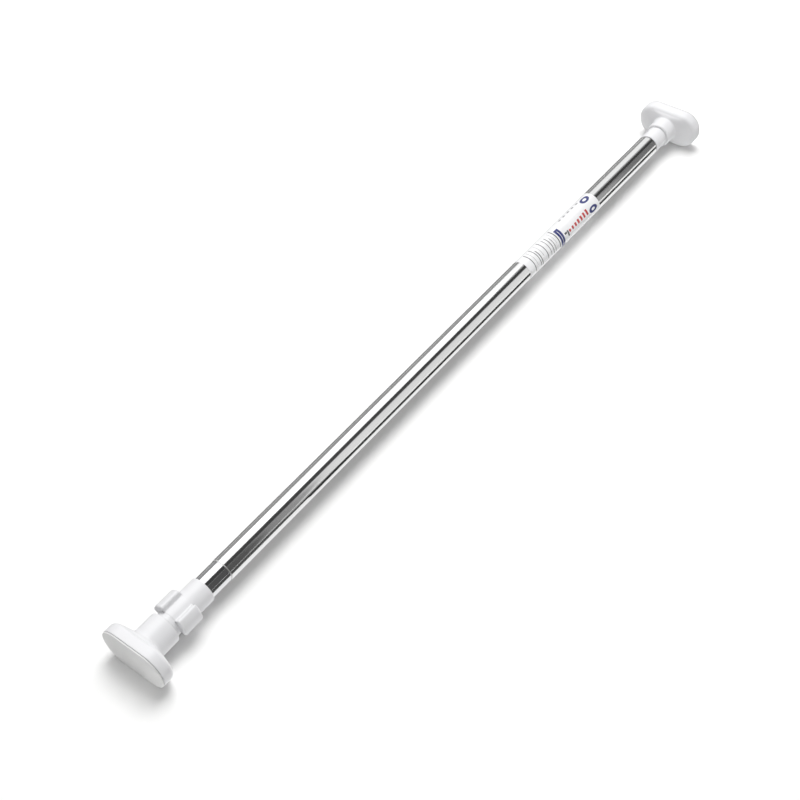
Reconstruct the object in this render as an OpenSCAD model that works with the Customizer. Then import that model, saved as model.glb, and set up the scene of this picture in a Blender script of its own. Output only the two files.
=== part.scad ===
// Telescopic tension bar with a twist lock, a jack nut and two swivelling feet.
// +X runs along the bar from the jack end to the plain end, +Z is up.
// The bar lies on the long edges of its feet: z = 0 is the ground.

/* [Bar] */
// Distance between the two pad faces as drawn
overall_length = 1184; // [1155:1:1850]
// Outside diameter of the outer tube
outer_tube_d = 32; // [28:0.5:36]
// Wall of the outer tube
outer_wall = 0.45; // [0.4:0.05:1]
// Wall of the inner tube
inner_wall = 0.5; // [0.4:0.05:1]
// Distance from the jack-end pad face to the outer tube's mouth
mouth_s = 149; // [125:1:800]
// Distance from the jack-end pad face to the inner tube's end in the nut
inner_tube_s = 92; // [90:1:100]
// Length of the inner tube
inner_tube_len = 900; // [400:1:910]
// Distance from the far pad face to the outer tube's end
tube_end_t = 73.5; // [60:0.5:90]

/* [Label] */
// Distance from the jack-end pad face to the label
label_s = 770; // [400:1:900]
// Length of the label
label_len = 179; // [100:1:200]
// Thickness of the label film
label_t = 0.15; // [0.1:0.05:0.3]

/* [Feet] */
// Long side of a foot
foot_w = 96; // [90:1:120]
// Short side of a foot, which sets the height of the bar's axis
foot_h = 56; // [50:1:64]
// Corner radius of a foot's outline
foot_corner_r = 26; // [15:1:28]
// Wall of the foot's rim
foot_wall = 2.5; // [2:0.1:4]
// Depth of the straight rim, from the pad face
rim_depth = 13.5; // [8:0.5:14]
// Radius of the jack-end foot's neck
near_neck_r = 21.6; // [20:0.1:24]
// Distance from the pad face to the end of the jack-end neck
near_neck_s = 54; // [45:0.5:60]
// Radius of the plain-end foot's neck
far_neck_r = 19; // [17:0.1:20]
// Distance from the pad face to the end of the plain-end neck
far_neck_t = 45; // [40:0.5:55]
// How far the soft pad stands out of the rim
pad_proud = 2; // [1:0.5:4]
// Depth of the pad's plug inside the rim
pad_plug = 4; // [2:0.5:6]

/* [Jack nut and screw] */
// Outside radius of the jack screw's thread
screw_r = 13; // [12:0.1:13.2]
// Distance from the pad face to the jack nut
nut_s = 60.5; // [60:0.5:65]
// Length of the lugs
lug_len = 29.5; // [25:0.5:35]
// Outside radius over the lugs
lug_r = 25.6; // [24:0.1:27]
// Angle that one lug covers
lug_angle = 62; // [40:1:80]
// Angle of the first lug about the bar
lug_phase = 44; // [0:1:90]
// Radius of the nut's front collar, which enters the neck of the foot
nut_collar_r = 17; // [15:0.1:17.2]
// Length of the nut's front collar
nut_collar_len = 5.5; // [3:0.5:5.5]
// Radius of the nut's body between the lugs
nut_body_r = 18; // [17.5:0.1:19]
// Radius of the nut's plain sleeve
nut_sleeve_r = 17.6; // [17:0.1:18.5]
// Distance from the jack-end pad face to the sleeve's end
sleeve_end_s = 117; // [110:1:125]
// Length of the jack screw from its shoulder in the foot
screw_len = 130; // [90:1:140]

/* [Twist lock] */
// Radius of the lock stud
stud_r = 4; // [3:0.5:5]
// Length of the slotted expander
expander_len = 46; // [35:1:60]
// Width of the expander's slits
slit_w = 3; // [2:0.5:4]

/* [Hidden] */
$fn = 96;

axis_z = foot_h / 2;
outer_r = outer_tube_d / 2;
outer_bore_r = outer_r - outer_wall;
slide_gap = 0.1;                      // radial running clearance of the telescope
inner_r = outer_bore_r - slide_gap;
inner_bore_r = inner_r - inner_wall;
turn_gap = 0.08;                      // radial running clearance of what turns
seat_gap = 0.02;                      // radial gap of what is fixed in its seat
free_gap = 0.4;                       // gap between pieces that must not rub
through = 1;                          // overshoot of a cut

white = "white";
soft_white = "whitesmoke";
steel = "silver";

// foot interior, measured from the pad face
recess_s = pad_proud + pad_plug + 0.2;
cavity_s = 10;
well_r = 14;
web_s = 14;
web_t = 6;
shoulder_s = web_s + web_t + 0.3;
journal_r = 8;
washer_t = 1.5;
washer_r = 12;
washer_s = web_s - 0.3 - washer_t;
head_r = 4.8;
head_t = 2.8;
shank_r = 2.5;
shank_len = 20;
crest_s = rim_depth + 2;
slope_end_s = 24;
fillet_r = 6;

// nut interior
bush_flange_t = 2;
bush_len = 22;
thrust_t = 1.2;
thrust_s = inner_tube_s - bush_flange_t - thrust_t - 0.1;
nut_thread_len = thrust_s - 0.3 - nut_s;
key_w = 4;
key_depth = 2.4;
stop_washer_r = 14.2;

// lock, measured from the jack-end pad face
tube_far_s = inner_tube_s + inner_tube_len;
plug_len = 26;
plug_flange_t = 4;
expander_s = tube_far_s + plug_flange_t + 0.5;
expander_r = outer_bore_r - turn_gap;
expander_web = 12;
cone_len = 14;
cone_small_r = 10.4;
cone_big_r = 12.8;
cone_gap = 0.6;
cone_s = expander_s + expander_len - cone_len - 1;
stop_nut_t = 6;
stop_nut_s = cone_s + cone_len + 3;
stud_s = tube_far_s - 16;
stud_len = stop_nut_s + stop_nut_t + 2 - stud_s;

// Places children at a distance from the jack-end pad face, their +Z along the bar
module at_s(s) {
    translate([s - overall_length / 2, 0, axis_z]) rotate([0, 90, 0]) children();
}

// Places children at a distance from the far pad face, their +Z back towards the bar
module at_t(t) {
    translate([overall_length / 2 - t, 0, axis_z]) rotate([0, -90, 0]) children();
}

module ring(r, bore_r, len) {
    difference() {
        cylinder(r = r, h = len);
        translate([0, 0, -through]) cylinder(r = bore_r, h = len + 2 * through);
    }
}

// Round-cornered plate: h lies along X, w along Y
module plate(w, h, r, t) {
    translate([-h / 2, -w / 2 + r, 0]) cube([h, w - 2 * r, t]);
    translate([-h / 2 + r, -w / 2, 0]) cube([h - 2 * r, w, t]);
    for (x = [-1, 1], y = [-1, 1])
        translate([x * (h / 2 - r), y * (w / 2 - r), 0]) cylinder(r = r, h = t);
}

// A plate of the foot's outline, drawn in by inset all round
module foot_plate(inset, t) {
    plate(foot_w - 2 * inset, foot_h - 2 * inset, foot_corner_r - inset, t);
}

// Concave fillet that runs from the foot's back up to the neck
module neck_fillet(neck_r) {
    steps = 6;
    arc = [for (i = [0 : steps])
        [neck_r + fillet_r * (1 - sin(90 * i / steps)),
         slope_end_s - 1 + fillet_r * (1 - cos(90 * i / steps))]];
    rotate_extrude() polygon(concat([[journal_r + 2, slope_end_s - 2],
                                     [neck_r + fillet_r, slope_end_s - 2]],
                                    arc,
                                    [[journal_r + 2, slope_end_s - 1 + fillet_r]]));
}

// Foot shell, from its rim to the end of its neck. neck_bore_r clears what is in the neck,
// and a mouth of mouth_depth takes the nut's front collar.
module foot_shell(neck_r, neck_end, neck_bore_r, mouth_depth) {
    edge = 1;
    difference() {
        union() {
            translate([0, 0, pad_proud]) foot_plate(0, rim_depth - pad_proud);
            hull($fn = 32) {
                translate([0, 0, rim_depth - 0.5]) foot_plate(0.3, 0.5);
                translate([0, 0, crest_s]) foot_plate(2, 0.2);
                translate([0, 0, slope_end_s - 2]) cylinder(r = neck_r + fillet_r, h = 1);
            }
            neck_fillet(neck_r);
            translate([0, 0, web_s]) cylinder(r = neck_r, h = neck_end - edge - web_s);
            translate([0, 0, neck_end - edge]) cylinder(r1 = neck_r, r2 = neck_r - edge, h = edge);
        }
        translate([0, 0, pad_proud - through]) foot_plate(foot_wall, recess_s + through - pad_proud);
        translate([0, 0, recess_s - through]) foot_plate(2 * foot_wall, cavity_s + through - recess_s);
        translate([0, 0, cavity_s - through]) cylinder(r = well_r, h = web_s - cavity_s + through);
        translate([0, 0, web_s - through]) cylinder(r = journal_r + turn_gap, h = web_t + 2 * through);
        translate([0, 0, web_s + web_t]) cylinder(r = neck_bore_r, h = neck_end);
        if (mouth_depth > 0)
            translate([0, 0, neck_end - mouth_depth])
                cylinder(r = nut_collar_r + free_gap, h = mouth_depth + through);
    }
}

module foot_pad() {
    lip = 1.5;
    chamfer = 0.8;
    hull($fn = 32) {
        foot_plate(lip + chamfer, 0.2);
        translate([0, 0, chamfer]) foot_plate(lip, pad_proud - chamfer);
    }
    translate([0, 0, pad_proud]) foot_plate(foot_wall + 0.2, pad_plug);
}

module foot_washer() {
    translate([0, 0, washer_s]) ring(washer_r, shank_r + 0.2, washer_t);
}

// Pan-head screw with a cross recess, its head towards the pad
module foot_screw() {
    recess = [5, 1.2];
    difference() {
        union() {
            translate([0, 0, washer_s - head_t]) cylinder(r1 = head_r - 1, r2 = head_r, h = head_t);
            translate([0, 0, washer_s - through]) cylinder(r = shank_r - seat_gap, h = shank_len);
        }
        for (a = [0, 90])
            rotate([0, 0, a]) translate([-recess[0] / 2, -recess[1] / 2, washer_s - head_t - through])
                cube([recess[0], recess[1], 2.4]);
    }
}

module outer_tube() {
    color(steel) at_s(mouth_s)
        ring(outer_r, outer_bore_r, overall_length - tube_end_t - mouth_s);
}

module label_wrap() {
    color(white) at_s(label_s) ring(outer_r + seat_gap + label_t, outer_r + seat_gap, label_len);
}

// Plug in the far end of the outer tube, with a collar and the far foot's journal
module far_plug() {
    collar_r = outer_r - 0.3;
    insert_len = 30;
    color(white) at_t(0) difference() {
        union() {
            translate([0, 0, web_s - 0.3]) cylinder(r = journal_r, h = tube_end_t - web_s);
            translate([0, 0, shoulder_s]) cylinder(r = screw_r, h = far_neck_t + free_gap - shoulder_s);
            translate([0, 0, far_neck_t + free_gap])
                cylinder(r = collar_r, h = tube_end_t - far_neck_t - free_gap);
            translate([0, 0, tube_end_t]) cylinder(r = outer_bore_r - seat_gap, h = insert_len);
        }
        translate([0, 0, web_s - through]) cylinder(r = shank_r, h = shank_len);
        translate([0, 0, tube_end_t]) cylinder(r = outer_bore_r - 3, h = insert_len + through);
    }
}

module far_foot_washer() { color(steel) at_t(0) foot_washer(); }

module far_foot_screw() { color(steel) at_t(0) foot_screw(); }

module far_foot_shell() {
    color(white) at_t(0) foot_shell(far_neck_r, far_neck_t, screw_r + free_gap, 0);
}

module far_foot_pad() { color(soft_white) at_t(0) foot_pad(); }

module inner_tube() {
    color(steel) at_s(inner_tube_s) ring(inner_r, inner_bore_r, inner_tube_len);
}

// Key that stops the jack screw from turning, drawn from the bore inwards
module key_bar(w, depth, len) {
    translate([screw_r - depth, -w / 2, 0]) cube([depth + 1, w, len]);
}

module tube_end_bush() {
    color(white) at_s(inner_tube_s) {
        difference() {
            union() {
                translate([0, 0, -bush_flange_t]) cylinder(r = inner_r, h = bush_flange_t);
                cylinder(r = inner_bore_r - seat_gap, h = bush_len);
            }
            translate([0, 0, -bush_flange_t - through])
                cylinder(r = screw_r + free_gap, h = bush_flange_t + bush_len + 2 * through);
        }
        intersection() {
            key_bar(key_w - 2 * free_gap, key_depth - free_gap, bush_len);
            cylinder(r = screw_r + free_gap + 0.1, h = bush_len);
        }
    }
}

module thrust_washer() {
    color(steel) at_s(thrust_s) ring(inner_r, screw_r + free_gap, thrust_t);
}

module lock_plug() {
    color(white) at_s(tube_far_s) difference() {
        union() {
            translate([0, 0, -plug_len]) cylinder(r = inner_bore_r - seat_gap, h = plug_len);
            cylinder(r = inner_r, h = plug_flange_t);
        }
        translate([0, 0, stud_s - tube_far_s]) cylinder(r = stud_r, h = plug_len + plug_flange_t);
    }
}

module lock_stud() {
    color(steel) at_s(stud_s) cylinder(r = stud_r - seat_gap, h = stud_len);
}

module lock_stop_nut() {
    across_corners = 7.5;
    color(steel) at_s(stop_nut_s) difference() {
        cylinder(r = across_corners, h = stop_nut_t, $fn = 6);
        translate([0, 0, -through]) cylinder(r = stud_r, h = stop_nut_t + 2 * through);
    }
}

// Slotted sleeve that the cone spreads against the outer tube's bore
module lock_expander() {
    slits = 3;
    seat = cone_s - expander_s;
    taper = (cone_big_r - cone_small_r) / cone_len;
    color(white) at_s(expander_s) difference() {
        cylinder(r = expander_r, h = expander_len);
        translate([0, 0, -through]) cylinder(r = stud_r + turn_gap - seat_gap, h = expander_len);
        translate([0, 0, expander_web])
            cylinder(r = cone_small_r + cone_gap - taper * 2, h = expander_len);
        translate([0, 0, seat - 2])
            cylinder(r1 = cone_small_r + cone_gap - taper * 2,
                     r2 = cone_big_r + cone_gap + taper * 2, h = cone_len + 4);
        for (i = [0 : slits - 1])
            rotate([0, 0, i * 360 / slits]) translate([stud_r + 3, -slit_w / 2, expander_web + 2])
                cube([expander_r, slit_w, expander_len]);
    }
}

// Tapered nut on the stud, with a fin in one slit of the expander
module lock_cone() {
    fin_w = slit_w - 2 * free_gap;
    color("gray") at_s(cone_s) difference() {
        union() {
            cylinder(r1 = cone_small_r, r2 = cone_big_r, h = cone_len);
            intersection() {
                translate([0, -fin_w / 2, 2]) cube([expander_r, fin_w, cone_len - 2]);
                cylinder(r = expander_r - 1, h = cone_len);
            }
        }
        translate([0, 0, -through])
            cylinder(r = stud_r + turn_gap - seat_gap, h = cone_len + 2 * through);
    }
}

// Hand nut: three lugs round a threaded body, and a sleeve over the inner tube's end
module jack_nut() {
    edge = 1.5;
    inset = 0.4;
    lug_top = lug_len - inset;
    root_r = nut_body_r - 2;
    nut_len = sleeve_end_s - nut_s;
    color(white) at_s(nut_s) difference() {
        union() {
            cylinder(r = nut_body_r, h = lug_len);
            cylinder(r = nut_sleeve_r, h = nut_len);
            translate([0, 0, -nut_collar_len]) cylinder(r = nut_collar_r, h = nut_collar_len + 1);
            for (i = [0 : 2])
                rotate([0, 0, lug_phase - lug_angle / 2 + 120 * i]) rotate_extrude(angle = lug_angle)
                    polygon([[root_r, inset], [lug_r - edge, inset], [lug_r, inset + edge],
                             [lug_r, lug_top - edge], [lug_r - edge, lug_top], [root_r, lug_top]]);
        }
        translate([0, 0, -nut_collar_len - through]) cylinder(r = screw_r + turn_gap, h = nut_len);
        translate([0, 0, nut_thread_len]) cylinder(r = inner_r + slide_gap, h = nut_len);
    }
}

// Jack screw: journal in the foot, thread through the nut and a keyway along its side
module jack_screw() {
    pilot = 18;
    color(white) at_s(0) difference() {
        union() {
            translate([0, 0, web_s - 0.3]) cylinder(r = journal_r, h = web_t + 1);
            translate([0, 0, shoulder_s]) cylinder(r = screw_r, h = screw_len);
        }
        translate([0, 0, nut_s]) key_bar(key_w, key_depth, screw_len);
        translate([0, 0, web_s - through]) cylinder(r = shank_r, h = shank_len);
        translate([0, 0, shoulder_s + screw_len - pilot]) cylinder(r = shank_r, h = pilot + through);
    }
}

module jack_stop_washer() {
    color(steel) at_s(shoulder_s + screw_len + 0.1) ring(stop_washer_r, shank_r + 0.2, washer_t);
}

module jack_stop_screw() {
    grip = 14;
    color(steel) at_s(shoulder_s + screw_len + 0.2) {
        translate([0, 0, washer_t]) cylinder(r1 = head_r, r2 = head_r - 1, h = head_t);
        translate([0, 0, -grip]) cylinder(r = shank_r - seat_gap, h = grip + washer_t + 0.1);
    }
}

module near_foot_washer() { color(steel) at_s(0) foot_washer(); }

module near_foot_screw() { color(steel) at_s(0) foot_screw(); }

module near_foot_shell() {
    color(white) at_s(0) foot_shell(near_neck_r, near_neck_s, screw_r + free_gap, nut_collar_len + 1.5);
}

module near_foot_pad() { color(soft_white) at_s(0) foot_pad(); }

outer_tube();
label_wrap();
far_plug();
far_foot_washer();
far_foot_screw();
far_foot_shell();
far_foot_pad();
inner_tube();
tube_end_bush();
thrust_washer();
lock_plug();
lock_stud();
lock_stop_nut();
lock_expander();
lock_cone();
jack_nut();
jack_screw();
jack_stop_washer();
jack_stop_screw();
near_foot_washer();
near_foot_screw();
near_foot_shell();
near_foot_pad();
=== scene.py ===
"""Looks of a telescopic tension bar: polished tubes, white plastic feet and hand nut, printed label."""
import math

import bpy
import bmesh
from mathutils import Matrix, Vector


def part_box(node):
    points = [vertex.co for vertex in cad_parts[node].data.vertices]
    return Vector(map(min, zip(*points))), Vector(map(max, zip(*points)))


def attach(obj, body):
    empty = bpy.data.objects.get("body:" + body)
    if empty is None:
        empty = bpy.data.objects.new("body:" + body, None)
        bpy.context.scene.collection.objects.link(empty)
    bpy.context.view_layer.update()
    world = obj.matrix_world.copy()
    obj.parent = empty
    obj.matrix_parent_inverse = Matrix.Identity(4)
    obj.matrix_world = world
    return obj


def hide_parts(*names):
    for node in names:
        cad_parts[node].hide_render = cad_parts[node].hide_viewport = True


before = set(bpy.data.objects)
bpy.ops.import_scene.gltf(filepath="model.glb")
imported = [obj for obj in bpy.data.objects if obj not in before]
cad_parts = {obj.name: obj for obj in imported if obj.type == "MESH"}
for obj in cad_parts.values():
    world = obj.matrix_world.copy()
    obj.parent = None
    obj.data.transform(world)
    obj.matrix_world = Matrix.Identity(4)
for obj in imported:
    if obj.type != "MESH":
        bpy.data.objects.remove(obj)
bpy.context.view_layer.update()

MM = 0.001

# ---------------------------------------------------------------- places, mostly from the CAD pieces' boxes

def low(node, axis):
    """The low side of a CAD piece's box along an axis."""
    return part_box(node)[0][axis]


def high(node, axis):
    """The high side of a CAD piece's box along an axis."""
    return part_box(node)[1][axis]


X, Y, Z = 0, 1, 2
TUBE_R = (high("outer_tube", Y) - low("outer_tube", Y)) / 2
INNER_R = (high("inner_tube", Y) - low("inner_tube", Y)) / 2
AXIS_Z = (high("outer_tube", Z) + low("outer_tube", Z)) / 2
NEAR_FACE = low("near_foot_pad", X)
FAR_FACE = high("far_foot_pad", X)
FOOT_W = high("near_foot_shell", Y) - low("near_foot_shell", Y)
FOOT_H = high("near_foot_shell", Z) - low("near_foot_shell", Z)
SCREW_R = (high("jack_screw", Y) - low("jack_screw", Y)) / 2
FACING_DEG = 121.4                   # the side that faces the camera, about the bar from +Y towards +Z
SHOULDER_T = 20.3 * MM               # from a pad's face to the shoulder that its foot turns against
JOURNAL_R = 8 * MM                   # radius of the journals that the feet turn on

# ---------------------------------------------------------------- mesh helpers

SAME_POINT = 1e-7                    # points closer than this are one point


def rounded(corners, steps=6):
    """A closed outline from (a, b, fillet radius) corners, each corner rounded by its own radius."""
    points = []
    count = len(corners)
    for i, (a, b, radius) in enumerate(corners):
        here = Vector((a, b))
        if radius <= 0:
            points.append(here)
            continue
        back = (Vector(corners[i - 1][:2]) - here).normalized()
        ahead = (Vector(corners[(i + 1) % count][:2]) - here).normalized()
        half = back.angle(ahead) / 2
        centre = here + (back + ahead).normalized() * radius / math.sin(half)
        start = here + back * radius / math.tan(half) - centre
        end = here + ahead * radius / math.tan(half) - centre
        sweep = start.angle_signed(end)
        for k in range(steps + 1):
            points.append(centre + Matrix.Rotation(-sweep * k / steps, 2) @ start)
    return [(p.x, p.y) for p in points]


def quarter_round(size, steps=6):
    """A rounded edge as (distance short of the end, amount drawn in), from full section to the end."""
    turns = [math.radians(90 * k / steps) for k in range(steps + 1)]
    return [(size * (1 - math.sin(turn)), size * (1 - math.cos(turn))) for turn in turns]


def add_mesh(name, verts, faces, body, node, slot, sharp_deg=38):
    """A smooth-shaded piece, sharp past an angle, that rides on a body and may replace a CAD node."""
    mesh = bpy.data.meshes.new(name)
    mesh.from_pydata(verts, [], faces)
    bm = bmesh.new()
    bm.from_mesh(mesh)
    bmesh.ops.remove_doubles(bm, verts=bm.verts, dist=SAME_POINT)
    bmesh.ops.recalc_face_normals(bm, faces=bm.faces)
    for edge in bm.edges:
        if len(edge.link_faces) == 2 and edge.calc_face_angle() > math.radians(sharp_deg):
            edge.smooth = False
    bm.to_mesh(mesh)
    bm.free()
    mesh.polygons.foreach_set("use_smooth", [True] * len(mesh.polygons))
    piece = bpy.data.objects.new(name, mesh)
    bpy.context.scene.collection.objects.link(piece)
    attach(piece, body)
    if node:
        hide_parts(node)
    return piece


def loft(rings, closed=True):
    """Verts and quads through rings of equal length. closed joins the last ring to the first."""
    count = len(rings[0])
    verts = [point for ring in rings for point in ring]
    bands = len(rings) if closed else len(rings) - 1
    faces = []
    for i in range(bands):
        j = (i + 1) % len(rings)
        for k in range(count):
            m = (k + 1) % count
            faces.append((i * count + k, i * count + m, j * count + m, j * count + k))
    return verts, faces


def on_bar(x, y, z):
    """A point from its place along the bar and its offsets from the bar's axis."""
    return (x, y, AXIS_Z + z)


def around_bar(x, radius, turn):
    """A point from its place along the bar, its distance from the axis and its angle from +Y."""
    return on_bar(x, radius * math.cos(turn), radius * math.sin(turn))


def full_turn(segments):
    """The angles of a full turn in equal steps."""
    return [2 * math.pi * k / segments for k in range(segments)]


def revolve(name, outline, body, node, slot, segments=192):
    """A turned piece from a closed outline of (x, radius)."""
    rings = [[around_bar(x, radius, turn) for turn in full_turn(segments)] for x, radius in outline]
    return add_mesh(name, *loft(rings), body, node, slot)


# ---------------------------------------------------------------- materials

EVEN = (1.0, 1.0, 1.0)               # noise that is not stretched along any axis


def new_material(name):
    """A node material, with its nodes, links and main shader."""
    material = bpy.data.materials.new(name)
    material.use_nodes = True
    nodes = material.node_tree.nodes
    return material, nodes, material.node_tree.links, nodes["Principled BSDF"]


def add_node(nodes, kind, **inputs):
    """A node with values set on its input sockets."""
    node = nodes.new(kind)
    for socket, value in inputs.items():
        node.inputs[socket].default_value = value
    return node


def mapped_noise(nodes, links, stretch, scale, detail):
    """Noise over the object's own coordinates, scaled by its own amount along each axis."""
    coords = add_node(nodes, "ShaderNodeTexCoord")
    mapping = add_node(nodes, "ShaderNodeMapping", Scale=stretch)
    noise = add_node(nodes, "ShaderNodeTexNoise", Scale=scale, Detail=detail)
    links.new(coords.outputs["Object"], mapping.inputs["Vector"])
    links.new(mapping.outputs["Vector"], noise.inputs["Vector"])
    return noise


def ramp(nodes, links, source, dark, light, low_at=0.3, high_at=0.7):
    """A colour ramp from dark to light over the source's middle range."""
    node = add_node(nodes, "ShaderNodeValToRGB")
    node.color_ramp.elements[0].position = low_at
    node.color_ramp.elements[1].position = high_at
    node.color_ramp.elements[0].color = (*dark, 1)
    node.color_ramp.elements[1].color = (*light, 1)
    links.new(source, node.inputs["Fac"])
    return node.outputs["Color"]


def spread(nodes, links, source, low_value, high_value):
    """Maps 0..1 to a range of values."""
    node = add_node(nodes, "ShaderNodeMapRange")
    node.inputs["To Min"].default_value = low_value
    node.inputs["To Max"].default_value = high_value
    links.new(source, node.inputs["Value"])
    return node.outputs["Result"]


def bump(nodes, links, source, shader, strength, distance):
    """Fine relief in the shading only. Every shape that shows is in the mesh."""
    node = add_node(nodes, "ShaderNodeBump", Strength=strength, Distance=distance)
    links.new(source, node.inputs["Height"])
    links.new(node.outputs["Normal"], shader.inputs["Normal"])


def polished_steel(name, rough=(0.10, 0.17), tint=(0.70, 0.70, 0.70)):
    """Polished stainless: fine lengthwise polishing lines and faint smudges."""
    material, nodes, links, shader = new_material(name)
    lines = mapped_noise(nodes, links, (3.0, 900.0, 900.0), 1.0, 4.0)
    smudge = mapped_noise(nodes, links, (4.0, 30.0, 30.0), 1.0, 2.0)
    shader.inputs["Metallic"].default_value = 1.0
    light = tuple(channel * 1.05 for channel in tint)
    links.new(ramp(nodes, links, smudge.outputs["Fac"], tint, light), shader.inputs["Base Color"])
    links.new(spread(nodes, links, lines.outputs["Fac"], *rough), shader.inputs["Roughness"])
    bump(nodes, links, lines.outputs["Fac"], shader, 0.03, 0.0002)
    return material


def zinc_steel(name):
    """Mottled grey metal: zinc plating or a zinc casting."""
    material, nodes, links, shader = new_material(name)
    mottle = mapped_noise(nodes, links, EVEN, 700.0, 4.0)
    shader.inputs["Metallic"].default_value = 1.0
    links.new(ramp(nodes, links, mottle.outputs["Fac"], (0.50, 0.51, 0.53), (0.66, 0.67, 0.68)),
              shader.inputs["Base Color"])
    links.new(spread(nodes, links, mottle.outputs["Fac"], 0.25, 0.42), shader.inputs["Roughness"])
    return material


def moulded_plastic(name, dark, light, rough=(0.26, 0.36), grain=2500.0, depth=0.00002):
    """Injection moulded plastic: a faint cloud in the colour and a very fine skin."""
    material, nodes, links, shader = new_material(name)
    cloud = mapped_noise(nodes, links, EVEN, 22.0, 2.0)
    skin = mapped_noise(nodes, links, EVEN, grain, 2.0)
    links.new(ramp(nodes, links, cloud.outputs["Fac"], dark, light), shader.inputs["Base Color"])
    links.new(spread(nodes, links, cloud.outputs["Fac"], *rough), shader.inputs["Roughness"])
    shader.inputs["IOR"].default_value = 1.49
    bump(nodes, links, skin.outputs["Fac"], shader, 0.15, depth)
    return material


def print_ink(name, colour):
    """Printed ink that lets a little of the film through, in fine specks."""
    material, nodes, links, shader = new_material(name)
    speck = mapped_noise(nodes, links, EVEN, 1800.0, 1.0)
    pale = tuple(channel * 0.9 + 0.10 for channel in colour)
    links.new(ramp(nodes, links, speck.outputs["Fac"], colour, pale, 0.5, 0.9),
              shader.inputs["Base Color"])
    links.new(spread(nodes, links, speck.outputs["Fac"], 0.3, 0.4), shader.inputs["Roughness"])
    return material


STEEL = polished_steel("polished_stainless")
STEEL_INNER = polished_steel("polished_stainless_inner", rough=(0.08, 0.14), tint=(0.66, 0.66, 0.67))
# Near-black steel for the far mouth's turned-in edge: painted shade for the dark shaded rim where the tube
# meets the collar.
PAINTED_SHADE_RIM = polished_steel("painted_shade_rim", rough=(0.25, 0.4), tint=(0.10, 0.10, 0.105))
CUT_EDGE = polished_steel("satin_cut_edge", rough=(0.45, 0.6), tint=(0.74, 0.74, 0.74))
ZINC = zinc_steel("zinc_plate")
WHITE = moulded_plastic("white_gloss_plastic", (0.765, 0.765, 0.780), (0.790, 0.790, 0.803))
SCREW_WHITE = moulded_plastic("screw_plastic", (0.78, 0.76, 0.76), (0.80, 0.785, 0.785), (0.3, 0.4))
INNER_WHITE = moulded_plastic("inner_plastic", (0.66, 0.66, 0.66), (0.72, 0.72, 0.72), (0.45, 0.6))
PAD_WHITE = moulded_plastic("soft_pad", (0.770, 0.770, 0.766), (0.800, 0.800, 0.796), (0.5, 0.62),
                            1400.0, 0.00006)
FILM = moulded_plastic("label_film", (0.82, 0.82, 0.83), (0.85, 0.85, 0.86), (0.22, 0.3), 900.0)
CAST = zinc_steel("cast_metal")


def paint(piece, *materials):
    """Gives a piece these materials, in place of any it has."""
    piece.data.materials.clear()
    for material in materials:
        piece.data.materials.append(material)


# ---------------------------------------------------------------- tubes and label

MOUTH_BAND = 1.3 * MM                # width of the satin band at the outer tube's near mouth
SHADE_RIM_BAND = 1.8 * MM                  # width of the painted shade band, in near-black steel, at the outer tube's far mouth
TUBE_SEGMENTS = 256
PRINT_SINK = 0.02 * MM               # how far a printed mark goes down into the film


def tube(name, node, body, slot, wall, far_roll):
    """A thin tube with its cut edges rolled smooth, and its far mouth turned in by far_roll."""
    box_low, box_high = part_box(node)
    start, end = box_low[X], box_high[X]
    outer = (box_high[Y] - box_low[Y]) / 2
    inner = outer - wall
    mouth = outer - far_roll - wall
    roll = wall * 0.45               # just under half the wall, so both edges fit
    outline = rounded([(start, outer, roll), (start + MOUTH_BAND, outer, 0), (end, outer, far_roll),
                       (end, mouth, roll), (end - wall, mouth, 0), (end - far_roll - wall, inner, 0),
                       (start, inner, roll)], 7)
    return revolve(name, outline, body, node, slot, TUBE_SEGMENTS)


def finish_mouths(piece):
    """Steel, with a satin cut edge at the near mouth and painted shade, a near-black steel band, at the
    turned-in far one.
    """
    paint(piece, STEEL, CUT_EDGE, PAINTED_SHADE_RIM)
    ends = [corner[X] for corner in piece.bound_box]
    for face in piece.data.polygons:
        if face.center.x < min(ends) + MOUTH_BAND:
            face.material_index = 1
        # the far mouth's last stretch gets the near-black steel, as painted shade
        elif face.center.x > max(ends) - SHADE_RIM_BAND:
            face.material_index = 2


finish_mouths(tube("outer_tube_skin", "outer_tube", "outer", "tube", 0.45 * MM, 1.5 * MM))
paint(tube("inner_tube_skin", "inner_tube", "inner", "tube", 0.5 * MM, 0.25 * MM), STEEL_INNER)
paint(tube("label_film_wrap", "label_wrap", "outer", "label", 0.13 * MM, 0.07 * MM), FILM)


def print_patch(verts, faces, along, facing, length, width, round_ends, lift):
    """One printed mark on the label, length along the bar and width round it, as a thin slab."""
    film_r = (high("label_wrap", Y) - low("label_wrap", Y)) / 2
    around, lengthwise = 24, 8
    first = len(verts)
    for radius in (film_r - PRINT_SINK, film_r + lift):
        for i in range(around + 1):
            across = -1 + 2 * i / around
            half = length / 2 * (math.sqrt(max(0.0, 1 - across * across)) if round_ends else 1)
            turn = math.radians(FACING_DEG + facing) + across * width / 2 / film_r
            for j in range(lengthwise + 1):
                verts.append(around_bar(along + half * (-1 + 2 * j / lengthwise), radius, turn))
    row = lengthwise + 1
    layer = (around + 1) * row
    for i in range(around):
        for j in range(lengthwise):
            a = first + i * row + j
            faces.append((a, a + 1, a + row + 1, a + row))
            faces.append((a + layer, a + layer + row, a + layer + row + 1, a + layer + 1))
    rim = ([(i, 0) for i in range(around)] + [(around, j) for j in range(lengthwise)]
           + [(i, lengthwise) for i in range(around, 0, -1)] + [(0, j) for j in range(lengthwise, 0, -1)])
    for (i, j), (next_i, next_j) in zip(rim, rim[1:] + rim[:1]):
        a = first + i * row + j
        b = first + next_i * row + next_j
        faces.append((a, b, b + layer, a + layer))


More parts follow.
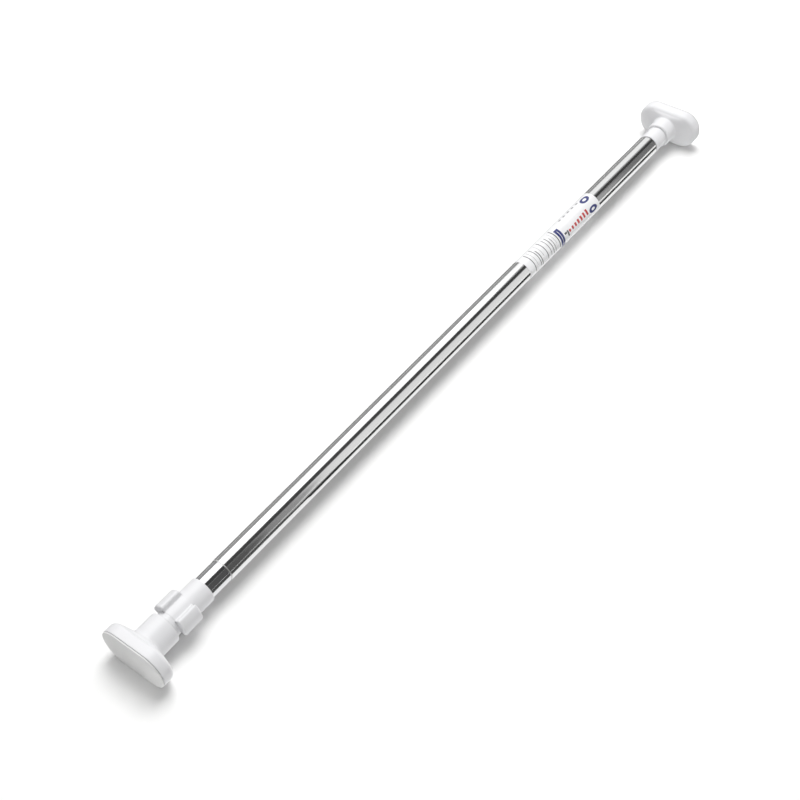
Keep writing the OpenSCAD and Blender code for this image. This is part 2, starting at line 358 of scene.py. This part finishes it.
def label_print(name, ink, marks, lift=0.03 * MM):
    """Marks are (mm from the label's near edge, degrees from facing, mm along, mm round, round ends)."""
    verts, faces = [], []
    for along, facing, length, width, round_ends in marks:
        print_patch(verts, faces, low("label_wrap", X) + along * MM, facing,
                    length * MM, width * MM, round_ends, lift)
    paint(add_mesh(name, verts, faces, "outer", None, "label", 30), ink)


EMBLEMS = [(163, -36, 19, 11, True), (163, 33, 19, 10, True)]
EMBLEM_HOLE = 0.42                   # size of the pale inside of an emblem, as a share of the emblem
BANNER = (83, 26, 9, 32, False)
BANNER_LINE = (83, 24, 0.9, 24, False)
RED_BARS = [(148 - 7.5 * i, 21 + i, 4.0, 9 - 0.8 * i, False) for i in range(7)]
GREY_LINES = [(14, 4, 1.3, 34, False), (27, 0, 1.1, 33, False), (31, 18, 1.3, 26, False),
              (45, 2, 1.2, 33, False), (53, 8, 0.9, 30, False), (59, 12, 1.2, 30, False),
              (64, 20, 0.9, 24, False), (75, 6, 1.6, 34, False), (98, 32, 3, 9, False),
              (93, 22, 5, 3, False)]
FAINT_LINES = [(20, -8, 0.6, 26, False), (37, -14, 0.6, 22, False), (69, -12, 0.6, 20, False)]
FAINT_BLOCKS = [(106 + 11 * i, -56, 5, 3, False) for i in range(5)]

label_print("label_print_blue", print_ink("ink_blue", (0.012, 0.020, 0.150)), EMBLEMS + [BANNER])
label_print("label_print_pale", FILM,
            [(along, facing, length * EMBLEM_HOLE, width * EMBLEM_HOLE, round_ends)
             for along, facing, length, width, round_ends in EMBLEMS] + [BANNER_LINE], 0.05 * MM)
label_print("label_print_red", print_ink("ink_red", (0.50, 0.035, 0.035)), RED_BARS)
label_print("label_print_grey", print_ink("ink_grey", (0.055, 0.055, 0.060)), GREY_LINES)
label_print("label_print_faint", print_ink("ink_faint", (0.30, 0.30, 0.31)), FAINT_LINES + FAINT_BLOCKS)

# ---------------------------------------------------------------- feet

CORNER_R = 26 * MM
FOOT_RING = 24                       # steps on each corner arc and on each straight stretch
FOOT_WALL = 2.5 * MM

# Places in a foot, as distances from its pad's face.
RIM_T = 2.6 * MM                     # the shell's open rim
CREST_FROM_T = 12.5 * MM             # the end of the straight side wall
DOME_T = 23.5 * MM                   # the top of the back, where the fillet round the neck starts
STEP_T = 6.2 * MM                    # the step just behind the pad's plug
HOLLOW_T = 10 * MM                   # the end of the hollow
WEB_FROM_T = 14 * MM                 # the web that turns on the journal
WEB_TO_T = 20 * MM
PLUG_T = 6 * MM                      # the end of the pad's plug

NECK_ROUND_DEPTH = 0.55              # how deep a neck's rounded end goes in, as a share of its length
PLUG_INSET = 2.75 * MM               # from the foot's outline in to the side of the pad's plug
PAD_MIDDLE = 0.002                   # size of the outlines that close the pad's middle, as a share


def foot_outline(inset):
    """The foot's round-cornered outline as (y, z) points, drawn in by inset all round."""
    half_w, half_h = FOOT_W / 2 - inset, FOOT_H / 2 - inset
    radius = CORNER_R - inset
    corners = [(half_w - radius, half_h - radius, 0), (radius - half_w, half_h - radius, 90),
               (radius - half_w, radius - half_h, 180), (half_w - radius, radius - half_h, 270)]
    points = []
    for i, (y, z, turn) in enumerate(corners):
        arc = [(y + radius * math.cos(math.radians(turn + 90 * k / FOOT_RING)),
                z + radius * math.sin(math.radians(turn + 90 * k / FOOT_RING)))
               for k in range(FOOT_RING + 1)]
        points += arc
        next_y, next_z, next_turn = corners[(i + 1) % 4]
        ahead = (next_y + radius * math.cos(math.radians(next_turn % 360)),
                 next_z + radius * math.sin(math.radians(next_turn % 360)))
        last = arc[-1]
        points += [(last[0] + (ahead[0] - last[0]) * k / FOOT_RING,
                    last[1] + (ahead[1] - last[1]) * k / FOOT_RING) for k in range(1, FOOT_RING)]
    return points


def circle_like(points, radius):
    """A circle with one point in the direction of each given point."""
    return [(radius * y / math.hypot(y, z), radius * z / math.hypot(y, z)) for y, z in points]


def shrunk(points, share):
    """The outline drawn in towards the axis, to a share of its size."""
    return [(y * share, z * share) for y, z in points]


def mixed(first, second, share):
    """An outline between two outlines, share of the way from the first to the second."""
    return [(a + (c - a) * share, b + (d - b) * share) for (a, b), (c, d) in zip(first, second)]


def smooth_curve(points, steps=5):
    """A Catmull-Rom curve through points, given as tuples of numbers."""
    curve = []
    padded = [points[0]] + list(points) + [points[-1]]
    for i in range(1, len(padded) - 2):
        p0, p1, p2, p3 = padded[i - 1:i + 3]
        for k in range(steps):
            t = k / steps
            curve.append(tuple(0.5 * (2 * b + (c - a) * t + (2 * a - 5 * b + 4 * c - d) * t * t
                                      + (3 * b - a - 3 * c + d) * t ** 3)
                               for a, b, c, d in zip(p0, p1, p2, p3)))
    curve.append(tuple(points[-1]))
    return curve


def foot_rings(layers, face, way):
    """Rings in space from (distance from the pad face, points) layers. way is +1 or -1 along X."""
    return [[on_bar(face + way * t, y, z) for y, z in points] for t, points in layers]


def shell_outside(neck_r, neck_t, neck_round):
    """Layers over a shell's outside: side wall, rounded crest, domed back, small fillet and neck."""
    crest_r, fillet = 7 * MM, 4 * MM
    edge = foot_outline(0)
    neck = circle_like(edge, neck_r)
    layers = [(RIM_T + 0.5 * MM, edge), (RIM_T + 3 * MM, edge), (CREST_FROM_T, edge)]
    for k in range(1, 7):
        turn = math.radians(65 * k / 6)
        layers.append((CREST_FROM_T + crest_r * math.sin(turn),
                       foot_outline(crest_r * (1 - math.cos(turn)))))
    crest_t, shoulder = layers[-1]
    rise = DOME_T - crest_t
    # Share of the way from the crest to the neck, and distance from the pad's face.
    back = [(0.0, crest_t), (0.2, crest_t + 0.30 * rise), (0.45, crest_t + 0.58 * rise),
            (0.7, crest_t + 0.82 * rise), (0.86, DOME_T), (0.95, DOME_T + 0.30 * fillet),
            (1.0, DOME_T + fillet)]
    layers += [(t, mixed(shoulder, neck, share)) for share, t in smooth_curve(back)[1:]]
    layers.append((neck_t - neck_round - 1 * MM, neck))
    layers += [(neck_t - short, circle_like(edge, neck_r - NECK_ROUND_DEPTH * inwards))
               for short, inwards in quarter_round(neck_round, 8)]
    return layers


def shell_inside(neck_t, mouth_r):
    """Layers down a shell's inside: the neck's mouth, its bore, the web, the screw's well, the hollow."""
    edge = foot_outline(0)
    mouth, bore = circle_like(edge, mouth_r), circle_like(edge, SCREW_R + 0.4 * MM)
    journal, well = circle_like(edge, JOURNAL_R + 0.1 * MM), circle_like(edge, 14 * MM)
    hollow, recess = foot_outline(2 * FOOT_WALL), foot_outline(FOOT_WALL)
    bevel, mouth_depth = 0.4 * MM, 7 * MM
    return [(neck_t, circle_like(edge, mouth_r + bevel)), (neck_t - bevel, mouth),
            (neck_t - mouth_depth, mouth), (neck_t - mouth_depth, bore),
            (WEB_TO_T, bore), (WEB_TO_T, journal), (WEB_FROM_T, journal), (WEB_FROM_T, well),
            (HOLLOW_T, well), (HOLLOW_T, hollow), (STEP_T, hollow), (STEP_T, recess),
            (RIM_T + 0.3 * MM, recess), (RIM_T, foot_outline(FOOT_WALL - 0.3 * MM)),
            (RIM_T, foot_outline(0.5 * MM)), (RIM_T + 0.15 * MM, foot_outline(0.15 * MM))]


def foot_shell(name, node, body, face, way, neck_r, neck_t, neck_round, mouth_r):
    """A hollow white shell with a neck, open at the rim where the pad sits."""
    layers = shell_outside(neck_r, neck_t, neck_round) + shell_inside(neck_t, mouth_r)
    piece = add_mesh(name, *loft(foot_rings(layers, face, way)), body, node, "white_plastic", 42)
    paint(piece, WHITE)


def foot_pad(name, node, body, face, way):
    """Soft pad: flat face, rounded lip and, behind it, the narrower plug that sits in the shell's rim."""
    lip, roll = 0.3 * MM, 1.2 * MM
    flat = foot_outline(lip + roll)
    plug = foot_outline(PLUG_INSET)
    layers = [(0.0, shrunk(flat, share)) for share in (PAD_MIDDLE, 0.3, 0.6, 0.85, 0.95)]
    layers += [(depth, foot_outline(lip + inwards)) for inwards, depth in quarter_round(roll)]
    layers += [(1.75 * MM, foot_outline(lip)), (1.9 * MM, foot_outline(lip + 0.2 * MM)),
               (1.95 * MM, plug), (PLUG_T, plug), (PLUG_T, shrunk(flat, PAD_MIDDLE))]
    piece = add_mesh(name, *loft(foot_rings(layers, face, way)), body, node, "pad", 50)
    paint(piece, PAD_WHITE)


NEAR_NECK_T = high("near_foot_shell", X) - NEAR_FACE
FAR_NECK_T = FAR_FACE - low("far_foot_shell", X)
foot_shell("near_foot_body", "near_foot_shell", "near_foot", NEAR_FACE, 1,
           21.6 * MM, NEAR_NECK_T, 1.6 * MM, 17.4 * MM)
foot_shell("far_foot_body", "far_foot_shell", "far_foot", FAR_FACE, -1,
           19.0 * MM, FAR_NECK_T, 3.0 * MM, 14.0 * MM)
foot_pad("near_foot_face", "near_foot_pad", "near_foot", NEAR_FACE, 1)
foot_pad("far_foot_face", "far_foot_pad", "far_foot", FAR_FACE, -1)

# ---------------------------------------------------------------- jack nut

LUG_R = 25.6 * MM
LUGS = 3
LUG_HALF_DEG = 31                    # half the width of a lug, as an angle
LUG_PHASE_DEG = 44                   # middle of the first lug, about the bar from +Y
LUG_LEN = 29.5 * MM
BODY_R = 17.7 * MM
COLLAR_R = 17.0 * MM
COLLAR_LEN = 5.5 * MM
SLEEVE_R = 17.6 * MM
VALLEY = math.radians(180 / LUGS)    # half the angle from one lug to the next


def lug_flank():
    """One side of a lug as (radius, angle from its middle): filleted root, flank, rounded corner."""
    corner, root = 3.4 * MM, 2.0 * MM
    half = math.radians(LUG_HALF_DEG)
    base = half + math.radians(0.5)
    flank = [(BODY_R, -base - root / BODY_R)]
    for k in range(1, 5):
        turn = k / 5 * math.pi / 2
        flank.append((BODY_R + root * (1 - math.cos(turn)), -base - root / BODY_R * (1 - math.sin(turn))))
    flank += [(BODY_R + root, -base), (LUG_R - corner, -half)]
    for k in range(1, 7):
        turn = math.radians(90 * k / 6)
        flank.append((LUG_R - corner * (1 - math.sin(turn)), -half + corner / LUG_R * (1 - math.cos(turn))))
    return flank


def lug_outline():
    """Cross-section of the nut through its lugs, as (y, z) points."""
    flank = lug_flank()
    span = VALLEY + flank[0][1]
    valley = [(BODY_R, -VALLEY + span * k / 6) for k in range(1, 6)]
    lug_side = flank[-1][1]
    top = [(LUG_R, lug_side - 2 * lug_side * k / 8) for k in range(1, 8)]
    mirrored = [(radius, -turn) for radius, turn in reversed(valley + flank)]
    section = [(BODY_R, -VALLEY)] + valley + flank + top + mirrored
    points = []
    for i in range(LUGS):
        middle = math.radians(LUG_PHASE_DEG + 360 / LUGS * i)
        points += [(radius * math.cos(middle + turn), radius * math.sin(middle + turn))
                   for radius, turn in section]
    return points


def drawn_in(points, amount, least):
    """Moves each outline point inwards along its normal, but not inside a circle of radius least."""
    moved = []
    count = len(points)
    for i, (y, z) in enumerate(points):
        before, after = Vector(points[i - 1]), Vector(points[(i + 1) % count])
        along = (after - before).normalized()
        y, z = y - along.y * amount, z + along.x * amount
        radius = math.hypot(y, z)
        scale = max(1.0, least / radius)
        moved.append((y * scale, z * scale))
    return moved


def nut_outside(section, start, end):
    """Layers over the nut's outside: collar, lugs with rounded ends, and a sleeve with a rolled rim."""
    soften, collar_roll, sleeve_roll = 2.2 * MM, 0.8 * MM, 1.0 * MM
    lug_start = start + COLLAR_LEN
    lug_end = lug_start + LUG_LEN
    layers = [(start + short, circle_like(section, COLLAR_R - inwards))
              for short, inwards in reversed(quarter_round(collar_roll))]
    layers += [(lug_start, circle_like(section, COLLAR_R))]
    layers += [(lug_start + short, drawn_in(section, inwards, COLLAR_R + 0.1 * MM))
               for short, inwards in reversed(quarter_round(soften))]
    layers += [(lug_end - short, drawn_in(section, inwards, SLEEVE_R))
               for short, inwards in quarter_round(soften)]
    layers += [(lug_end, circle_like(section, SLEEVE_R)), (end - 5 * MM, circle_like(section, SLEEVE_R))]
    layers += [(end - short, circle_like(section, SLEEVE_R - inwards))
               for short, inwards in quarter_round(sleeve_roll)]
    return layers


def nut_inside(section, start, end):
    """Layers down the nut's inside: the pocket round the inner tube's end, and the threaded bore."""
    pocket_r, thread_r = INNER_R + 0.1 * MM, SCREW_R + 0.08 * MM
    pocket_end = low("thrust_washer", X) - 0.3 * MM
    bevel, lead = 0.3 * MM, 1.0 * MM
    pocket, thread = circle_like(section, pocket_r), circle_like(section, thread_r)
    return [(end, circle_like(section, pocket_r + bevel)), (end - bevel, pocket),
            (pocket_end, pocket), (pocket_end, thread),
            (start + lead, thread), (start, circle_like(section, thread_r + lead))]


def jack_nut():
    """White hand nut with lugs. Every layer has as many points as the cross-section through the lugs."""
    start, end = low("jack_nut", X), high("jack_nut", X)
    section = lug_outline()
    layers = nut_outside(section, start, end) + nut_inside(section, start, end)
    rings = [[on_bar(x, y, z) for y, z in points] for x, points in layers]
    piece = add_mesh("jack_hand_nut", *loft(rings), "nut", "jack_nut", "white_plastic", 40)
    paint(piece, WHITE)


jack_nut()

# ---------------------------------------------------------------- jack screw with its thread

def jack_screw():
    """Trapezoidal right-hand thread with a keyway, a shoulder, and the foot's journal."""
    pitch, depth = 4 * MM, 1.5 * MM
    key_half_w, key_floor_r = 2 * MM, 10.6 * MM
    start, end = low("jack_screw", X), high("jack_screw", X)
    shoulder = NEAR_FACE + SHOULDER_T
    keyway_from = low("jack_nut", X) + COLLAR_LEN
    first, last = shoulder + 2 * MM, end - 2 * MM
    turns = full_turn(144)
    steps_per_pitch = 14
    steps = int((last - first) / pitch * steps_per_pitch)

    def thread_r(x, turn):
        """Radius of the thread. ridge is 1 on a crest and 0 in a root, with straight flanks between."""
        phase = ((x - first) / pitch - turn / (2 * math.pi)) % 1.0
        ridge = min(1.0, max(0.0, 3.0 - abs(phase - 0.5) * 10.0))
        run_out = min(1.0, (x - first) / (2 * pitch), (last - x) / (2 * pitch))
        radius = SCREW_R - depth * (1 - ridge) * (0.25 + 0.75 * max(0.0, run_out))
        in_key = x > keyway_from and math.sin(turn) < 0 and abs(radius * math.cos(turn)) < key_half_w
        return min(radius, key_floor_r) if in_key else radius

    def ring(x, radius):
        return [around_bar(x, radius, turn) for turn in turns]

    rings = [ring(start, 0.0), ring(start, JOURNAL_R - 0.4 * MM), ring(start + 0.4 * MM, JOURNAL_R),
             ring(shoulder, JOURNAL_R), ring(shoulder, SCREW_R - 0.5 * MM),
             ring(shoulder + 0.5 * MM, SCREW_R), ring(first, SCREW_R)]
    for i in range(1, steps):
        x = first + (last - first) * i / steps
        rings.append([around_bar(x, thread_r(x, turn), turn) for turn in turns])
    rings += [ring(end - 1.5 * MM, SCREW_R - 1.5 * MM), ring(end, SCREW_R - 2.5 * MM), ring(end, 0.0)]
    piece = add_mesh("jack_screw_thread", *loft(rings, closed=False), "screw", "jack_screw",
                     "screw_plastic", 30)
    paint(piece, SCREW_WHITE)


jack_screw()

# ---------------------------------------------------------------- far plug

def far_plug():
    """Collar with softened edges, the insert in the tube, and the foot's journal."""
    tube_end = high("outer_tube", X)
    insert_end, journal_end = low("far_plug", X), high("far_plug", X)
    seam = low("far_foot_shell", X) - 0.4 * MM
    shoulder = FAR_FACE - SHOULDER_T
    collar_from = tube_end + 0.9 * MM
    collar_r, insert_r, throat_r, bore_r = [TUBE_R - inwards * MM for inwards in (0.3, 0.47, 2.2, 3.45)]
    pilot_r, pilot_end = 2.5 * MM, journal_end - 18 * MM
    centre_r = 0.01 * MM
    outline = rounded([(insert_end, insert_r, 0.6 * MM), (tube_end - 3 * MM, insert_r, 0),
                       (tube_end - 2.4 * MM, throat_r, 0), (collar_from, throat_r, 0),
                       (collar_from, collar_r, 0.7 * MM), (seam, collar_r, 0.9 * MM),
                       (seam, SCREW_R, 0), (shoulder, SCREW_R, 0.3 * MM), (shoulder, JOURNAL_R, 0),
                       (journal_end, JOURNAL_R, 0.3 * MM), (journal_end, pilot_r, 0),
                       (pilot_end, pilot_r, 0), (pilot_end, centre_r, 0),
                       (tube_end, centre_r, 0), (tube_end, bore_r - 1 * MM, 0),
                       (tube_end - 4 * MM, bore_r, 0), (insert_end, bore_r, 0.6 * MM)])
    paint(revolve("far_end_collar", outline, "outer", "far_plug", "white_plastic"), WHITE)


far_plug()

# ---------------------------------------------------------------- carried-over CAD pieces

CARRIED_OVER = [(ZINC, ["thrust_washer", "far_foot_washer", "far_foot_screw", "near_foot_washer",
                        "near_foot_screw", "jack_stop_washer", "jack_stop_screw", "lock_stud",
                        "lock_stop_nut"]),
                (CAST, ["lock_cone"]),
                (INNER_WHITE, ["lock_expander", "lock_plug", "tube_end_bush"])]

for material, nodes in CARRIED_OVER:
    for node in nodes:
        paint(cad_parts[node], material)

# ---------------------------------------------------------------- studio

WORLD_STRENGTH = 0.39

# Lamps: name, place, the point it aims at, its two sides, watts.
LAMPS = [("key", (1.5, 0.8, 4.1), (0.0, 0.0, 0.0), (3.0, 3.0), 190),
         ("fill", (-3.2, -1.4, 1.1), (-0.3, 0.0, 0.0), (2.4, 1.6), 8)]

FLOOR_HALF = 6.0
FLOOR_Z = -0.1 * MM                  # just under the part, so that no faces share a plane
LOW_CARD_Z = 0.5 * MM

# Cards over and beside the bar: name, angles about the bar from +Y, distance, ends along X, strength.
ARC_CARDS = [("softbox", 34, 94, 2.6, -3.0, 2.1, 1.9),
             ("softbox_far", 31, 84, 2.6, 2.1, 5.0, 1.15),
             ("softbox_edge", 84, 91, 2.6, 2.1, 5.0, 0.45),
             ("dark_gap", 97, 127, 1.2, -3.0, 5.0, 0.06),
             ("side_dark", 129, 181, 1.0, -3.0, -0.02, 0.10),
             ("side_dim", 129, 181, 1.0, -0.02, 0.14, 0.34),
             ("side_pale", 129, 181, 1.0, 0.14, 1.15, 0.95),
             ("side_far", 129, 181, 1.0, 1.15, 1.4, 0.46),
             ("side_end", 129, 181, 1.0, 1.4, 5.0, 0.20)]

LOW_NEAR = low("outer_tube", X) - 0.3
LOW_SPLIT = -0.28
LOW_FAR = high("outer_tube", X) + 0.4

# Cards just over the floor: name, ends along X, ends along Y, strength.
LOW_CARDS = [("low_grey", LOW_NEAR, LOW_FAR, 0.012, 0.6, 0.30),
             ("low_bright", LOW_SPLIT, LOW_FAR, -0.045, -0.010, 1.15),
             ("low_bright_near", LOW_NEAR, LOW_SPLIT, -0.060, -0.010, 1.15),
             ("low_dark", LOW_SPLIT, LOW_FAR, -0.115, -0.045, 0.03),
             ("low_dark_near", -1.2, LOW_SPLIT, -0.6, -0.060, 0.09),
             ("low_dim_near", LOW_SPLIT, -0.16, -0.6, -0.115, 0.38)]


def emitter(name, strength):
    """A plain white glow."""
    material = bpy.data.materials.new(name)
    material.use_nodes = True
    nodes = material.node_tree.nodes
    nodes.clear()
    glow = add_node(nodes, "ShaderNodeEmission", Color=(1, 1, 1, 1), Strength=strength)
    output = add_node(nodes, "ShaderNodeOutputMaterial")
    material.node_tree.links.new(glow.outputs["Emission"], output.inputs["Surface"])
    return material


def card(name, corners, strength):
    """A bright or dark card that only reflections show: it lights nothing else and casts no shadow."""
    mesh = bpy.data.meshes.new(name)
    mesh.from_pydata(corners, [], [(0, 1, 2, 3)])
    panel = bpy.data.objects.new(name, mesh)
    bpy.context.scene.collection.objects.link(panel)
    mesh.materials.append(emitter(name + "_glow", strength))
    panel.visible_camera = False
    panel.visible_diffuse = False
    panel.visible_shadow = False
    panel.visible_transmission = False


def arc_card(name, from_deg, to_deg, distance, x_from, x_to, strength):
    """A flat card parallel to the bar, spanning angles about it from +Y."""
    (y0, z0), (y1, z1) = [(distance * math.cos(math.radians(deg)),
                           AXIS_Z + distance * math.sin(math.radians(deg))) for deg in (from_deg, to_deg)]
    card(name, [(x_from, y0, z0), (x_to, y0, z0), (x_to, y1, z1), (x_from, y1, z1)], strength)


def low_card(name, x_from, x_to, y_from, y_to, strength):
    """A flat card just over the floor."""
    card(name, [(x_from, y_from, LOW_CARD_Z), (x_to, y_from, LOW_CARD_Z),
                (x_to, y_to, LOW_CARD_Z), (x_from, y_to, LOW_CARD_Z)], strength)


def floor():
    """A matt white floor."""
    mesh = bpy.data.meshes.new("floor")
    mesh.from_pydata([(-FLOOR_HALF, -FLOOR_HALF, 0), (FLOOR_HALF, -FLOOR_HALF, 0),
                      (FLOOR_HALF, FLOOR_HALF, 0), (-FLOOR_HALF, FLOOR_HALF, 0)], [], [(0, 1, 2, 3)])
    ground = bpy.data.objects.new("floor", mesh)
    ground.location.z = FLOOR_Z
    bpy.context.scene.collection.objects.link(ground)
    material, nodes, links, shader = new_material("floor_white")
    mottle = mapped_noise(nodes, links, EVEN, 3.0, 2.0)
    links.new(ramp(nodes, links, mottle.outputs["Fac"], (0.95, 0.95, 0.945), (0.96, 0.96, 0.955)),
              shader.inputs["Base Color"])
    shader.inputs["Roughness"].default_value = 0.9
    shader.inputs["Specular IOR Level"].default_value = 0.1
    mesh.materials.append(material)


def area_light(name, place, aim, size, watts):
    """A rectangular lamp that no reflection shows."""
    light = bpy.data.lights.new(name, "AREA")
    light.shape = "RECTANGLE"
    light.size, light.size_y = size
    light.energy = watts
    lamp = bpy.data.objects.new(name, light)
    lamp.location = place
    lamp.rotation_euler = (Vector(aim) - Vector(place)).to_track_quat("-Z", "Y").to_euler()
    lamp.visible_glossy = False
    bpy.context.scene.collection.objects.link(lamp)


def studio():
    """Floor, even world light, two lamps, and the cards that the polished tubes reflect."""
    floor()
    world = bpy.data.worlds.new("studio")
    bpy.context.scene.world = world
    world.use_nodes = True
    sky = world.node_tree.nodes["Background"]
    sky.inputs["Color"].default_value = (1, 1, 1, 1)
    sky.inputs["Strength"].default_value = WORLD_STRENGTH
    for values in LAMPS:
        area_light(*values)
    for values in ARC_CARDS:
        arc_card(*values)
    for values in LOW_CARDS:
        low_card(*values)


CAMERA_PLACE = Vector((-0.9773, -0.7956, 1.3308))
CAMERA_AIM = Vector((-0.1102, -0.0074, 0.0276))
CAMERA_LEAN_DEG = 5.8                # turn about the line of sight
CAMERA_LENS_MM = 60.65


def camera():
    """The camera, above the bar and beyond its near end."""
    data = bpy.data.cameras.new("camera")
    data.sensor_width = 36.0
    data.lens = CAMERA_LENS_MM
    data.clip_start = 0.05
    eye = bpy.data.objects.new("camera", data)
    aimed = (CAMERA_AIM - CAMERA_PLACE).to_track_quat("-Z", "Y").to_matrix()
    turned = aimed @ Matrix.Rotation(math.radians(-CAMERA_LEAN_DEG), 3, "Z")
    eye.matrix_world = Matrix.Translation(CAMERA_PLACE) @ turned.to_4x4()
    bpy.context.scene.collection.objects.link(eye)
    bpy.context.scene.camera = eye


studio()
camera()
bpy.context.scene.view_settings.view_transform = "Standard"
